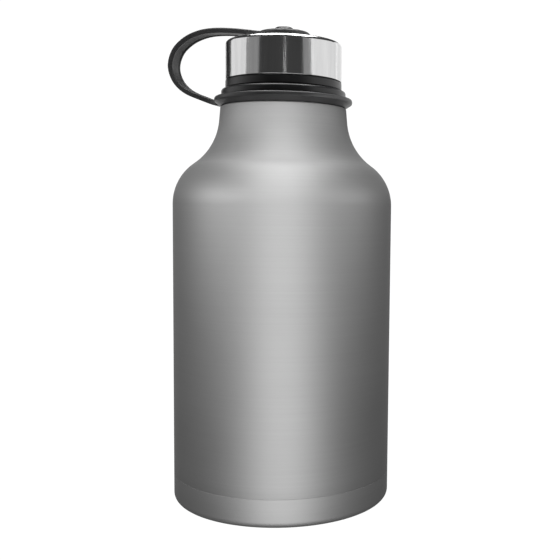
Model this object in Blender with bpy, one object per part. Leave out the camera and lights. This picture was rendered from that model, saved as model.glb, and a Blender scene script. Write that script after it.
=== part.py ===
"""Double-walled steel growler with a screw-in insulated lid and a moulded strap tether.

Units are metres, +Z is up. The origin is on the bottle's axis, in the plane that it stands on.
The strap leaves the bottle along -X. The lid turns about +Z on a right-hand double-start thread.
"""

import math

import bmesh
import bpy
from mathutils import Vector

# ---- driving dimensions -------------------------------------------------------------------------

GAP = 0.0003            # clearance that stands for contact between two pieces
SHEET = 0.0007          # steel sheet thickness
SIDES = 48              # facets round the outer bottle
INNER_SIDES = 40        # facets round the inner flask's neck and the lid
HIDDEN_SIDES = 32       # facets round the plain pieces inside
SMALL_SIDES = 24        # facets round a small turned piece
TINY_SIDES = 16         # facets round the smallest turned piece

# outer bottle
BODY_RADIUS = 0.062
SEAM_Z = 0.0160         # joint between the outer shell and the base cap
BODY_TOP_Z = 0.1684     # where the straight side ends and the shoulder starts
SHOULDER_RADIUS = 0.0278
HOLLOW_RADIUS = 0.0333
SHOULDER_ANGLE = math.radians(54.8)
NECK_SLOPE = math.radians(4.75)
NECK_TOP_Z = 0.2232     # shoulder that the tether ring rests on
GROOVE_RADIUS = 0.0332  # waist under the lip that holds the tether ring
LIP_TOP_Z = 0.2284
LIP_RADIUS = 0.03475
LIP_THICKNESS = 0.0010

# base
BASE_CORNER = 0.0040
FOOT_INNER = 0.0500      # inner edge of the flat foot ring
RECESS_OUTER = 0.0485    # pressed ring-shaped recess between the foot and the middle disc
RECESS_INNER = 0.0215
RECESS_DEPTH = 0.0016
DISC_RADIUS = 0.0200     # flat middle disc, level with the foot ring

# inner flask
FLASK_RADIUS = 0.0572
FLASK_JOINT_Z = 0.0240
FLASK_BODY_TOP_Z = 0.1650
FLASK_SHOULDER_RADIUS = 0.0260
FLASK_NECK_JOINT_Z = 0.2150     # joint between the flask's shoulder and its threaded neck
MOUTH_RADIUS = 0.0308

# thread, the same helix on the flask's neck and on the lid's plug
THREAD_LEAD = 0.0080
THREAD_STARTS = 2
THREAD_TURNS = 1.0
THREAD_HEIGHT = 0.0015
THREAD_ROOT_HALF = 0.0010
THREAD_CREST_HALF = 0.0004
THREAD_EMBED = 0.0004
THREAD_STEPS = 36
THREAD_PHASE = math.radians(1.3)    # keeps the ridges' corners off the wall's
PLUG_RADIUS = 0.0287
PLUG_THREAD_Z = 0.2148
NECK_THREAD_Z = 0.2176

# lid, heights are above the lip's top
LID_RADIUS = 0.0330
LID_FLANGE_RADIUS = 0.03515
LID_BEAD_RADIUS = 0.0331
SPIGOT_RADIUS = 0.0319
CAP_BOTTOM = 0.0096
CAP_TOP = 0.0311
CAP_CORNER = 0.0025
PLUG_BOTTOM = -0.0158
CAVITY_RADIUS = 0.0255
CAVITY_TOP = 0.0241
DECK_TOP = 0.0299
GASKET_INNER = 0.0292
GASKET_OUTER = 0.0336
GASKET_TOP = 0.0020
BOSS_RADIUS = 0.0080
BOSS_BOTTOM = 0.0196

# stud that the tether's eyelet turns on
STUD_HEAD_RADIUS = 0.0057
STUD_NECK_RADIUS = 0.0040
STUD_TOP = 0.0400
STUD_HEAD_BOTTOM = 0.0381
STUD_BOTTOM = 0.0258
SCREW_RADIUS = 0.0016

# tether, the ring's and the strap's heights are above the ring's bottom
RING_BOTTOM_Z = 0.2235
RING_RADIUS = 0.0388
RING_BORE = 0.0335
RING_TOP = 0.0036
RING_SKIRT_RADIUS = 0.0366
STRAP_WIDTH = 0.0115
STRAP_THICKNESS = 0.0024
EYELET_RADIUS = 0.0150
EYELET_BORE = 0.0044
EYELET_BOTTOM = 0.0316
EYELET_TOP = 0.0370
# middle line of the strap from the ring to the eyelet, as (distance from the axis, height)
STRAP_ROUTE = [
    (0.0392, 0.0024),
    (0.0480, 0.0053),
    (0.0588, 0.0102),
    (0.0655, 0.0165),
    (0.0682, 0.0249),
    (0.0655, 0.0334),
    (0.0588, 0.0394),
    (0.0503, 0.0428),
    (0.0414, 0.0439),
    (0.0310, 0.0435),
    (0.0214, 0.0424),
    (0.0153, 0.0417),
]
STRAP_STEPS = 3         # stretches between two route points

# things sealed between the walls and in the lid
FOIL_RADIUS = 0.0590
FOIL_THICKNESS = 0.0003
GETTER_RADIUS = 0.0062
GETTER_OFFSET = 0.0250


# ---- helpers ------------------------------------------------------------------------------------

def clear_scene():
    for obj in list(bpy.data.objects):
        bpy.data.objects.remove(obj, do_unlink=True)


def material(name, colour, roughness, metallic):
    mat = bpy.data.materials.new(name)
    mat.use_nodes = True
    shader = mat.node_tree.nodes["Principled BSDF"]
    shader.inputs["Base Color"].default_value = (*colour, 1.0)
    shader.inputs["Roughness"].default_value = roughness
    shader.inputs["Metallic"].default_value = metallic
    return mat


def axis_empty(name, height):
    """An empty on the bottle's axis that carries one rigid group."""
    empty = bpy.data.objects.new(name, None)
    empty.location = (0.0, 0.0, height)
    bpy.context.scene.collection.objects.link(empty)
    return empty


def add_object(name, bm, mat, parent, location=(0.0, 0.0, 0.0)):
    bmesh.ops.recalc_face_normals(bm, faces=bm.faces)
    mesh = bpy.data.meshes.new(name)
    bm.to_mesh(mesh)
    bm.free()
    mesh.shade_smooth()
    mesh.set_sharp_from_angle(angle=math.radians(35.0))
    obj = bpy.data.objects.new(name, mesh)
    obj.parent = parent
    obj.location = location
    if mat is not None:
        mesh.materials.append(mat)
    bpy.context.scene.collection.objects.link(obj)
    return obj


def arc(centre_r, centre_z, radius, start_deg, end_deg, steps):
    """Points of a round stretch of an outline, both ends included."""
    points = []
    for i in range(steps + 1):
        angle = math.radians(start_deg + (end_deg - start_deg) * i / steps)
        points.append((centre_r + radius * math.cos(angle), centre_z + radius * math.sin(angle)))
    return points


def turned(name, outline, mat, parent, location=(0.0, 0.0, 0.0), sides=SIDES):
    """A solid of revolution about the local Z axis from a closed (radius, height) outline."""
    bm = bmesh.new()
    verts = [bm.verts.new((r, 0.0, z)) for r, z in outline]
    for first, second in zip(verts, verts[1:] + verts[:1]):
        on_axis = abs(first.co.x) < 1e-7 and abs(second.co.x) < 1e-7
        if not on_axis:
            bm.edges.new((first, second))
    bmesh.ops.spin(
        bm,
        geom=bm.verts[:] + bm.edges[:],
        cent=(0.0, 0.0, 0.0),
        axis=(0.0, 0.0, 1.0),
        angle=2.0 * math.pi,
        steps=sides,
        use_merge=True,
    )
    bmesh.ops.remove_doubles(bm, verts=bm.verts, dist=1e-6)
    return add_object(name, bm, mat, parent, location)


def sweep(bm, sections):
    """A closed tube through a list of sections that have the same number of corners."""
    rings = [[bm.verts.new(corner) for corner in section] for section in sections]
    for near, far in zip(rings, rings[1:]):
        for i in range(len(near)):
            j = (i + 1) % len(near)
            bm.faces.new((near[i], near[j], far[j], far[i]))
    bm.faces.new(rings[0])
    bm.faces.new(list(reversed(rings[-1])))


def smooth_route(route, steps):
    """Points on a Catmull-Rom curve through the route, with its direction at each point."""
    ends = [
        tuple(2.0 * a - b for a, b in zip(route[0], route[1])),
        tuple(2.0 * a - b for a, b in zip(route[-1], route[-2])),
    ]
    knots = [Vector(p) for p in [ends[0]] + list(route) + [ends[1]]]
    result = []
    for k in range(1, len(knots) - 2):
        before, start, end, after = knots[k - 1:k + 3]
        last = k == len(knots) - 3
        for i in range(steps + (1 if last else 0)):
            t = i / steps
            point = 0.5 * (
                2.0 * start
                + (end - before) * t
                + (2.0 * before - 5.0 * start + 4.0 * end - after) * t ** 2
                + (3.0 * start - before - 3.0 * end + after) * t ** 3
            )
            slope = 0.5 * (
                (end - before)
                + 2.0 * (2.0 * before - 5.0 * start + 4.0 * end - after) * t
                + 3.0 * (3.0 * start - before - 3.0 * end + after) * t ** 2
            )
            result.append((point, slope.normalized()))
    return result


def shoulder(body_radius, body_top, bulge, hollow, angle, slope, inset=0.0, steps=5):
    """The S-shaped shoulder from the straight side up to the neck, moved in by inset."""
    centre_r = body_radius - bulge
    points = arc(centre_r, body_top, bulge - inset, 0.0, math.degrees(angle), steps)
    turn_r = centre_r + (bulge + hollow) * math.cos(angle)
    turn_z = body_top + (bulge + hollow) * math.sin(angle)
    start = 180.0 + math.degrees(angle)
    end = 180.0 + math.degrees(slope)
    points += arc(turn_r, turn_z, hollow + inset, start, end, steps)[1:]
    return points


def neck_radius_at(z, point, slope):
    """Radius of the slightly conical neck at height z, from its lowest point."""
    return point[0] - (z - point[1]) * math.tan(slope)


def thread_ridges(name, root_radius, outward, start_z, start_angle, parent):
    """Helical ridges that run out at both ends, kept as a guide for a Boolean union."""
    bm = bmesh.new()
    steps = int(THREAD_STEPS * THREAD_TURNS)
    sign = 1.0 if outward else -1.0
    for start in range(THREAD_STARTS):
        sections = []
        for i in range(steps + 1):
            along = i / steps
            turns = THREAD_TURNS * along + start / THREAD_STARTS
            angle = start_angle + THREAD_PHASE + 2.0 * math.pi * turns
            z = start_z + THREAD_LEAD * THREAD_TURNS * along
            ramp = min(1.0, 8.0 * along + 0.1, 8.0 * (1.0 - along) + 0.1)
            root = root_radius - sign * THREAD_EMBED
            crest = root_radius + sign * THREAD_HEIGHT * ramp
            corners = [
                (root, z - THREAD_ROOT_HALF),
                (crest, z - THREAD_CREST_HALF),
                (crest, z + THREAD_CREST_HALF),
                (root, z + THREAD_ROOT_HALF),
            ]
            sections.append([(r * math.cos(angle), r * math.sin(angle), h) for r, h in corners])
        sweep(bm, sections)
    ridges = add_object(name, bm, None, parent)
    ridges.hide_render = True
    ridges.display_type = "WIRE"
    return ridges


def join_ridges(obj, ridges):
    union = obj.modifiers.new("thread", "BOOLEAN")
    union.operation = "UNION"
    union.solver = "EXACT"
    union.object = ridges


# ---- bottle -------------------------------------------------------------------------------------

def outer_shell(parent):
    curve = (BODY_RADIUS, BODY_TOP_Z, SHOULDER_RADIUS, HOLLOW_RADIUS, SHOULDER_ANGLE, NECK_SLOPE)
    outside = shoulder(*curve)
    inside = shoulder(*curve, inset=SHEET)
    low = SEAM_Z + GAP / 2.0
    step_in = NECK_TOP_Z - SHEET
    outline = [(BODY_RADIUS, low)] + outside
    outline += [
        (neck_radius_at(NECK_TOP_Z, outside[-1], NECK_SLOPE), NECK_TOP_Z),
        (GROOVE_RADIUS, NECK_TOP_Z),
        (GROOVE_RADIUS, LIP_TOP_Z - LIP_THICKNESS - GAP),
        (GROOVE_RADIUS - SHEET, LIP_TOP_Z - LIP_THICKNESS - GAP),
        (GROOVE_RADIUS - SHEET, step_in),
        (neck_radius_at(step_in, inside[-1], NECK_SLOPE), step_in),
    ]
    outline += list(reversed(inside)) + [(BODY_RADIUS - SHEET, low)]
    steel = material("satin_steel", (0.42, 0.42, 0.42), 0.48, 1.0)
    return turned("outer_shell", outline, steel, parent)


def outer_base(parent):
    high = SEAM_Z - GAP / 2.0
    inner_corner = BASE_CORNER - SHEET
    corner_r = BODY_RADIUS - BASE_CORNER
    half = SHEET / 2.0
    recess_top = RECESS_DEPTH + SHEET
    outline = [(BODY_RADIUS, high)]
    outline += arc(corner_r, BASE_CORNER, BASE_CORNER, 0.0, -90.0, 3)
    outline += [(FOOT_INNER, 0.0), (RECESS_OUTER, RECESS_DEPTH), (RECESS_INNER, RECESS_DEPTH)]
    outline += [(DISC_RADIUS, 0.0), (0.0, 0.0), (0.0, SHEET), (DISC_RADIUS - half, SHEET)]
    outline += [(RECESS_INNER - half, recess_top), (RECESS_OUTER + half, recess_top)]
    outline += [(FOOT_INNER + half, SHEET)]
    outline += arc(corner_r, BASE_CORNER, inner_corner, -90.0, 0.0, 2)
    outline += [(BODY_RADIUS - SHEET, high)]
    steel = material("base_steel", (0.40, 0.40, 0.40), 0.48, 1.0)
    return turned("outer_base", outline, steel, parent)


def vacuum_bottom(parent):
    """Dished end of the outer vacuum wall, with the hole that the air is drawn out through."""
    radius = BODY_RADIUS - SHEET - GAP - 0.0001
    corner = 0.0040
    plate_z = 0.0050
    rim_z = 0.0180
    dimple_outer = 0.0090
    dimple_inner = 0.0070
    dimple_z = 0.0070
    hole = 0.0015
    outline = [(radius, rim_z)]
    outline += arc(radius - corner, plate_z + corner, corner, 0.0, -90.0, 2)
    outline += [(dimple_outer, plate_z), (dimple_inner, dimple_z), (hole, dimple_z)]
    outline += [(hole, dimple_z + SHEET), (dimple_inner + SHEET / 2.0, dimple_z + SHEET)]
    outline += [(dimple_outer + SHEET / 2.0, plate_z + SHEET)]
    outline += arc(radius - corner, plate_z + corner, corner - SHEET, -90.0, 0.0, 2)
    outline += [(radius - SHEET, rim_z)]
    steel = material("vacuum_bottom_steel", (0.55, 0.54, 0.52), 0.40, 1.0)
    return turned("vacuum_bottom", outline, steel, parent, sides=HIDDEN_SIDES)


def vacuum_seal(parent):
    """Bead of solder glass that closes the evacuation hole."""
    outline = [(0.0, 0.0067), (0.0040, 0.0067), (0.0034, 0.0058), (0.0018, 0.0053), (0.0, 0.0052)]
    bead = material("seal_bead", (0.22, 0.24, 0.22), 0.30, 0.0)
    return turned("vacuum_seal", outline, bead, parent, sides=TINY_SIDES)


def inner_flask(parent):
    """Straight tube of the inner vessel."""
    inner = FLASK_RADIUS - SHEET
    high = FLASK_BODY_TOP_Z - GAP
    outline = [(FLASK_RADIUS, FLASK_JOINT_Z), (FLASK_RADIUS, high)]
    outline += [(inner, high), (inner, FLASK_JOINT_Z)]
    steel = material("flask_steel", (0.62, 0.61, 0.59), 0.30, 1.0)
    return turned("inner_flask", outline, steel, parent, sides=INNER_SIDES)


def inner_shoulder(parent):
    """Shoulder of the inner vessel, from the tube up to the threaded neck."""
    neck_outer = MOUTH_RADIUS + SHEET
    across = (FLASK_RADIUS - neck_outer) / (1.0 - math.cos(SHOULDER_ANGLE))
    curve = (
        FLASK_RADIUS,
        FLASK_BODY_TOP_Z,
        FLASK_SHOULDER_RADIUS,
        across - FLASK_SHOULDER_RADIUS,
        SHOULDER_ANGLE,
        0.0,
    )
    high = FLASK_NECK_JOINT_Z - GAP / 2.0
    outline = shoulder(*curve, steps=4) + [(neck_outer, high), (MOUTH_RADIUS, high)]
    outline += list(reversed(shoulder(*curve, inset=SHEET, steps=4)))
    steel = material("inner_shoulder_steel", (0.62, 0.61, 0.59), 0.30, 1.0)
    return turned("inner_shoulder", outline, steel, parent, sides=INNER_SIDES)


def inner_neck(parent):
    """Threaded neck of the inner vessel, with the lip rolled out over the top."""
    neck_outer = MOUTH_RADIUS + SHEET
    low = FLASK_NECK_JOINT_Z + GAP / 2.0
    lip_low = LIP_TOP_Z - LIP_THICKNESS
    round_off = LIP_THICKNESS * 0.3
    outline = [
        (neck_outer, low),
        (neck_outer, lip_low),
        (LIP_RADIUS - round_off, lip_low),
        (LIP_RADIUS, lip_low + round_off),
        (LIP_RADIUS, LIP_TOP_Z - round_off),
        (LIP_RADIUS - round_off, LIP_TOP_Z),
        (MOUTH_RADIUS + round_off, LIP_TOP_Z),
        (MOUTH_RADIUS, LIP_TOP_Z - round_off),
        (MOUTH_RADIUS, low),
    ]
    steel = material("neck_steel", (0.62, 0.61, 0.59), 0.30, 1.0)
    neck = turned("inner_neck", outline, steel, parent, sides=INNER_SIDES)
    lag = (NECK_THREAD_Z - PLUG_THREAD_Z - THREAD_LEAD / THREAD_STARTS / 2.0) / THREAD_LEAD
    ridges = thread_ridges(
        "neck_thread_guide", MOUTH_RADIUS, False, NECK_THREAD_Z, 2.0 * math.pi * lag, parent
    )
    join_ridges(neck, ridges)
    return neck


def inner_base(parent):
    """Dished bottom of the inner vessel, pushed up a little at the centre."""
    corner = 0.0120
    plate_z = 0.0094
    centre_z = 0.0112
    high = FLASK_JOINT_Z - GAP
    outline = [(FLASK_RADIUS, high)]
    outline += arc(FLASK_RADIUS - corner, plate_z + corner, corner, 0.0, -90.0, 4)
    outline += [(0.0, centre_z), (0.0, centre_z + SHEET)]
    outline += arc(FLASK_RADIUS - corner, plate_z + corner, corner - SHEET, -90.0, 0.0, 4)
    outline += [(FLASK_RADIUS - SHEET, high)]
    steel = material("inner_base_steel", (0.62, 0.61, 0.59), 0.30, 1.0)
    return turned("inner_base", outline, steel, parent, sides=HIDDEN_SIDES)


def radiation_foil(parent):
    """Thin foil sleeve in the vacuum between the two walls."""
    low = 0.0260
    high = 0.1620
    inner = FOIL_RADIUS - FOIL_THICKNESS
    outline = [(FOIL_RADIUS, low), (FOIL_RADIUS, high), (inner, high), (inner, low)]
    foil = material("foil", (0.80, 0.55, 0.42), 0.25, 1.0)
    return turned("radiation_foil", outline, foil, parent, sides=HIDDEN_SIDES)


def getter(parent):
    """Cup under the inner base with the pill that soaks up stray gas in the vacuum."""
    place = (GETTER_OFFSET, 0.0, 0.0)
    wall = 0.0006
    low = 0.0068
    high = 0.0094
    inside = GETTER_RADIUS - wall
    cup = [(0.0, high), (GETTER_RADIUS, high), (GETTER_RADIUS, low), (inside, low)]
    cup += [(inside, high - wall), (0.0, high - wall)]
    steel = material("getter_cup_steel", (0.50, 0.50, 0.50), 0.35, 1.0)
    turned("getter_cup", cup, steel, parent, place, SMALL_SIDES)
    top = high - wall - GAP
    radius = inside - GAP
    pill = [(0.0, top), (radius, top), (radius, low + GAP), (0.0, low + GAP)]
    powder = material("getter_powder", (0.18, 0.17, 0.16), 0.90, 0.0)
    turned("getter_pill", pill, powder, parent, place, SMALL_SIDES)


# ---- tether -------------------------------------------------------------------------------------

def tether_ring(parent):
    """Collar of the tether, snapped into the waist under the lip."""
    outline = [
        (RING_BORE, 0.0),
        (RING_SKIRT_RADIUS, 0.0),
        (RING_RADIUS - 0.0007, 0.0010),
        (RING_RADIUS, 0.0018),
        (RING_RADIUS, RING_TOP - 0.0008),
        (RING_RADIUS - 0.0006, RING_TOP),
        (RING_BORE, RING_TOP),
    ]
    rubber = material("ring_rubber", (0.025, 0.025, 0.026), 0.50, 0.0)
    return turned("tether_ring", outline, rubber, parent)


def tether_loop(parent):
    """Flat strap that arches from the ring, out past the lid and back over its top."""
    half_width = STRAP_WIDTH / 2.0
    half = STRAP_THICKNESS / 2.0
    sections = []
    for point, slope in smooth_route(STRAP_ROUTE, STRAP_STEPS):
        side = Vector((-slope.y, slope.x)) * half
        outer = point - side
        inner = point + side
        sections.append([
            (-outer.x, -half_width, outer.y),
            (-outer.x, half_width, outer.y),
            (-inner.x, half_width, inner.y),
            (-inner.x, -half_width, inner.y),
        ])
    bm = bmesh.new()
    sweep(bm, sections)
    rubber = material("strap_rubber", (0.025, 0.025, 0.026), 0.50, 0.0)
    return add_object("tether_loop", bm, rubber, parent)


def tether_eyelet(parent):
    """Round end of the strap that turns on the lid's stud."""
    edge = 0.0010
    outline = [
        (EYELET_BORE, EYELET_BOTTOM),
        (EYELET_RADIUS - edge, EYELET_BOTTOM),
        (EYELET_RADIUS, EYELET_BOTTOM + edge),
        (EYELET_RADIUS, EYELET_TOP - edge),
        (EYELET_RADIUS - edge, EYELET_TOP),
        (EYELET_BORE, EYELET_TOP),
    ]
    rubber = material("eyelet_rubber", (0.025, 0.025, 0.026), 0.50, 0.0)
    return turned("tether_eyelet", outline, rubber, parent, sides=HIDDEN_SIDES)


def swivel_washer(parent):
    low = EYELET_TOP + GAP
    high = STUD_HEAD_BOTTOM - GAP
    inner = STUD_NECK_RADIUS + GAP
    outer = STUD_HEAD_RADIUS - GAP
    outline = [(inner, low), (outer, low), (outer, high), (inner, high)]
    steel = material("washer_steel", (0.60, 0.60, 0.60), 0.30, 1.0)
    return turned("swivel_washer", outline, steel, parent, sides=SMALL_SIDES)


# ---- lid ----------------------------------------------------------------------------------------

def lid_body(parent):
    """Moulded lid: threaded plug, flange over the lip, bead, spigot inside the steel cap."""
    flange_low = 0.0004
    flange_top = 0.0045
    groove_top = GASKET_TOP + GAP
    groove_radius = GASKET_OUTER + GAP
    bead_low = 0.0050
    bead_top = CAP_BOTTOM - GAP
    outline = [
        (PLUG_RADIUS - 0.0011, PLUG_BOTTOM),
        (PLUG_RADIUS, PLUG_BOTTOM + 0.0011),
        (PLUG_RADIUS, groove_top),
        (groove_radius, groove_top),
        (groove_radius, flange_low),
        (LID_FLANGE_RADIUS - 0.0005, flange_low),
        (LID_FLANGE_RADIUS, flange_low + 0.0005),
        (LID_FLANGE_RADIUS, flange_top - 0.0010),
        (LID_FLANGE_RADIUS - 0.0008, flange_top),
        (SPIGOT_RADIUS + 0.0003, flange_top),
        (SPIGOT_RADIUS + 0.0003, bead_low),
        (LID_BEAD_RADIUS, bead_low + 0.0005),
        (LID_BEAD_RADIUS, bead_top - 0.0005),
        (LID_BEAD_RADIUS - 0.0005, bead_top),
        (SPIGOT_RADIUS, bead_top),
        (SPIGOT_RADIUS, DECK_TOP - 0.0018),
        (SPIGOT_RADIUS - 0.0018, DECK_TOP),
        (STUD_NECK_RADIUS + 0.0004, DECK_TOP),
        (STUD_NECK_RADIUS + 0.0004, STUD_BOTTOM - 0.0004),
        (SCREW_RADIUS + 0.0007, STUD_BOTTOM - 0.0004),
        (SCREW_RADIUS + 0.0007, BOSS_BOTTOM),
        (BOSS_RADIUS, BOSS_BOTTOM),
        (BOSS_RADIUS, CAVITY_TOP),
        (CAVITY_RADIUS, CAVITY_TOP),
        (CAVITY_RADIUS, PLUG_BOTTOM),
    ]
    plastic = material("lid_plastic", (0.02, 0.02, 0.021), 0.35, 0.0)
    body = turned("lid_body", outline, plastic, parent, sides=INNER_SIDES)
    start_z = PLUG_THREAD_Z - LIP_TOP_Z
    ridges = thread_ridges("plug_thread_guide", PLUG_RADIUS, True, start_z, 0.0, parent)
    join_ridges(body, ridges)
    return body


def lid_cap(parent):
    """Polished steel cup over the lid, with a hole for the stud."""
    hole = STUD_NECK_RADIUS + 0.0005
    corner_r = LID_RADIUS - CAP_CORNER
    corner_z = CAP_TOP - CAP_CORNER
    outline = [(LID_RADIUS, CAP_BOTTOM)]
    outline += arc(corner_r, corner_z, CAP_CORNER, 0.0, 90.0, 3)
    outline += [(hole, CAP_TOP), (hole, CAP_TOP - SHEET)]
    outline += arc(corner_r, corner_z, CAP_CORNER - SHEET, 90.0, 0.0, 2)
    outline += [(LID_RADIUS - SHEET, CAP_BOTTOM)]
    steel = material("cap_steel", (0.72, 0.72, 0.72), 0.10, 1.0)
    return turned("lid_cap", outline, steel, parent, sides=INNER_SIDES)


def lid_insulation(parent):
    """Foam puck that fills the lid, with a pocket for the screw boss."""
    radius = CAVITY_RADIUS - GAP
    low = PLUG_BOTTOM + 0.0033
    high = CAVITY_TOP - GAP
    pocket = BOSS_RADIUS + 0.0004
    pocket_z = BOSS_BOTTOM - 0.0048
    outline = [(0.0, low), (radius, low), (radius, high), (pocket, high)]
    outline += [(pocket, pocket_z), (0.0, pocket_z)]
    foam = material("lid_foam", (0.85, 0.83, 0.76), 0.95, 0.0)
    return turned("lid_insulation", outline, foam, parent, sides=HIDDEN_SIDES)


def lid_bottom_cover(parent):
    """Disc that closes the plug from below, dished so that it stays off the drink."""
    radius = CAVITY_RADIUS - GAP
    low = PLUG_BOTTOM + 0.0002
    high = low + 0.0028
    dish = 0.0230
    outline = [(0.0, low + 0.0009), (dish, low + 0.0009), (dish + 0.0006, low), (radius, low)]
    outline += [(radius, high), (0.0, high)]
    plastic = material("cover_plastic", (0.03, 0.03, 0.031), 0.40, 0.0)
    return turned("lid_bottom_cover", outline, plastic, parent, sides=HIDDEN_SIDES)


def lip_gasket(parent):
    """Silicone ring in the flange's groove that seals on the lip."""
    outline = [
        (GASKET_INNER, GAP),
        (GASKET_OUTER, GAP),
        (GASKET_OUTER, GASKET_TOP),
        (GASKET_INNER, GASKET_TOP),
    ]
    silicone = material("silicone", (0.75, 0.75, 0.73), 0.45, 0.0)
    return turned("lip_gasket", outline, silicone, parent, sides=INNER_SIDES)


def lid_stud(parent):
    """Headed stud through the cap and the deck: the tether's eyelet turns on its neck."""
    blind = SCREW_RADIUS + 0.0003
    outline = [
        (0.0, STUD_TOP),
        (0.0030, STUD_TOP - 0.0002),
        (0.0049, STUD_TOP - 0.0006),
        (STUD_HEAD_RADIUS, STUD_TOP - 0.0013),
        (STUD_HEAD_RADIUS - 0.0001, STUD_HEAD_BOTTOM),
        (STUD_NECK_RADIUS, STUD_HEAD_BOTTOM),
        (STUD_NECK_RADIUS, STUD_BOTTOM),
        (blind, STUD_BOTTOM),
        (blind, STUD_BOTTOM + 0.0073),
        (0.0, STUD_BOTTOM + 0.0073),
    ]
    black = material("stud_black", (0.02, 0.02, 0.021), 0.25, 0.0)
    return turned("lid_stud", outline, black, parent, sides=SMALL_SIDES)


def stud_screw(parent):
    """Screw that pulls the stud down from inside the lid."""
    head_top = BOSS_BOTTOM - 0.0011
    head_low = head_top - 0.0023
    head_radius = 0.0034
    bevel = 0.0008
    tip = STUD_BOTTOM + 0.0060
    outline = [
        (0.0, head_low),
        (head_radius - bevel, head_low),
        (head_radius, head_low + bevel),
        (head_radius, head_top),
        (SCREW_RADIUS, head_top),
        (SCREW_RADIUS, tip),
        (0.0, tip),
    ]
    steel = material("screw_steel", (0.55, 0.55, 0.56), 0.30, 1.0)
    return turned("stud_screw", outline, steel, parent, sides=TINY_SIDES)


def screw_washer(parent):
    low = BOSS_BOTTOM - 0.0008
    high = BOSS_BOTTOM - GAP
    inner = SCREW_RADIUS + GAP
    outer = 0.0044
    outline = [(inner, low), (outer, low), (outer, high), (inner, high)]
    steel = material("screw_washer_steel", (0.58, 0.58, 0.58), 0.30, 1.0)
    return turned("screw_washer", outline, steel, parent, sides=TINY_SIDES)


# ---- assembly -----------------------------------------------------------------------------------

clear_scene()

bottle = axis_empty("bottle_axis", 0.0)
for make in (outer_shell, outer_base, vacuum_bottom, vacuum_seal, inner_flask, inner_shoulder,
             inner_neck, inner_base, radiation_foil, getter):
    make(bottle)

tether = axis_empty("tether_axis", RING_BOTTOM_Z)
for make in (tether_ring, tether_loop):
    make(tether)

tether_end = axis_empty("tether_end_axis", LIP_TOP_Z)
tether_eyelet(tether_end)

swivel = axis_empty("swivel_axis", LIP_TOP_Z)
swivel_washer(swivel)

lid = axis_empty("lid_axis", LIP_TOP_Z)
for make in (lid_body, lid_cap, lid_insulation, lid_bottom_cover, lip_gasket, lid_stud,
             stud_screw, screw_washer):
    make(lid)
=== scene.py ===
"""Looks of the steel growler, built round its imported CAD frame."""

import math

import bmesh
import bpy
from mathutils import Matrix, Vector


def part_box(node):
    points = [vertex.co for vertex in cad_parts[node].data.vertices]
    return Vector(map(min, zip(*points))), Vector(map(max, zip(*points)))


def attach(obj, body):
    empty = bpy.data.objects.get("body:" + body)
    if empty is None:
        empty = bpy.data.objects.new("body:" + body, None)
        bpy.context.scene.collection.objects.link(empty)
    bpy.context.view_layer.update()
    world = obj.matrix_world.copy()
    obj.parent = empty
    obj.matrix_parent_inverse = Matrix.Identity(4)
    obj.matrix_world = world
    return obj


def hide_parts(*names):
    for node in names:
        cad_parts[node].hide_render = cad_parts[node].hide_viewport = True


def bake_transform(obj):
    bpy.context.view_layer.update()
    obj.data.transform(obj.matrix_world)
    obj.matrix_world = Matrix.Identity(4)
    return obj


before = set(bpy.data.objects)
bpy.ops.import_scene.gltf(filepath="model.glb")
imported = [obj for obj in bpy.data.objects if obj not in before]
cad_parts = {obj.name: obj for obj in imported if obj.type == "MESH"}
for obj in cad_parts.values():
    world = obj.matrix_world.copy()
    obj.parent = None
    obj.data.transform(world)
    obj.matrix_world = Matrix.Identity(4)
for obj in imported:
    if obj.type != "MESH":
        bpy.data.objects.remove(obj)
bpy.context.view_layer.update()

# ---- driving sizes, in metres -------------------------------------------------------------------

MM = 0.001
SHEET = 0.7 * MM            # steel sheet thickness
ROUND_SIDES = 256           # facets round the bottle and the lid
INNER_SIDES = 192           # facets round the flask, the lid moulding and the tether's ring
SMALL_SIDES = 96            # facets round the stud
SMOOTH_ANGLE = math.radians(35.0)

# places read from the frame
BODY_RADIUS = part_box("outer_shell")[1].x
SEAM = (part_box("outer_base")[1].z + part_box("outer_shell")[0].z) / 2.0
LIP_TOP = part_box("inner_neck")[1].z
FLASK_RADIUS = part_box("inner_flask")[1].x
FLASK_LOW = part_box("inner_flask")[0].z
RING_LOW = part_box("tether_ring")[0].z
RING_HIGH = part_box("tether_ring")[1].z
RING_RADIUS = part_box("tether_ring")[1].x
EYELET_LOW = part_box("tether_eyelet")[0].z
EYELET_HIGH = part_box("tether_eyelet")[1].z
EYELET_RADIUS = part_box("tether_eyelet")[1].x
CAP_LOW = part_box("lid_cap")[0].z
CAP_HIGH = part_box("lid_cap")[1].z
CAP_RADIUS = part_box("lid_cap")[1].x
PLUG_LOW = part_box("lid_body")[0].z
FLANGE_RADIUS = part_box("lid_body")[1].x
STUD_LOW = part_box("lid_stud")[0].z
STUD_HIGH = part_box("lid_stud")[1].z
STUD_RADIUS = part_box("lid_stud")[1].x

# bottle outline
BODY_TOP = LIP_TOP - 60.0 * MM      # where the straight side ends and the shoulder starts
SHOULDER_RADIUS = 27.8 * MM         # the bulging arc of the shoulder
HOLLOW_RADIUS = 33.3 * MM           # the hollow arc between shoulder and neck
SHOULDER_ANGLE = math.radians(54.8)
NECK_SLOPE = math.radians(4.75)
NECK_TOP = RING_LOW - 0.3 * MM
WAIST_RADIUS = 33.2 * MM            # the groove that the tether's ring sits in
LIP_RADIUS = 34.75 * MM
LIP_THICKNESS = 1.0 * MM
MOUTH_RADIUS = 30.8 * MM
FLASK_BODY_TOP = LIP_TOP - 63.4 * MM
FLASK_SHOULDER_RADIUS = 26.0 * MM

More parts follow.
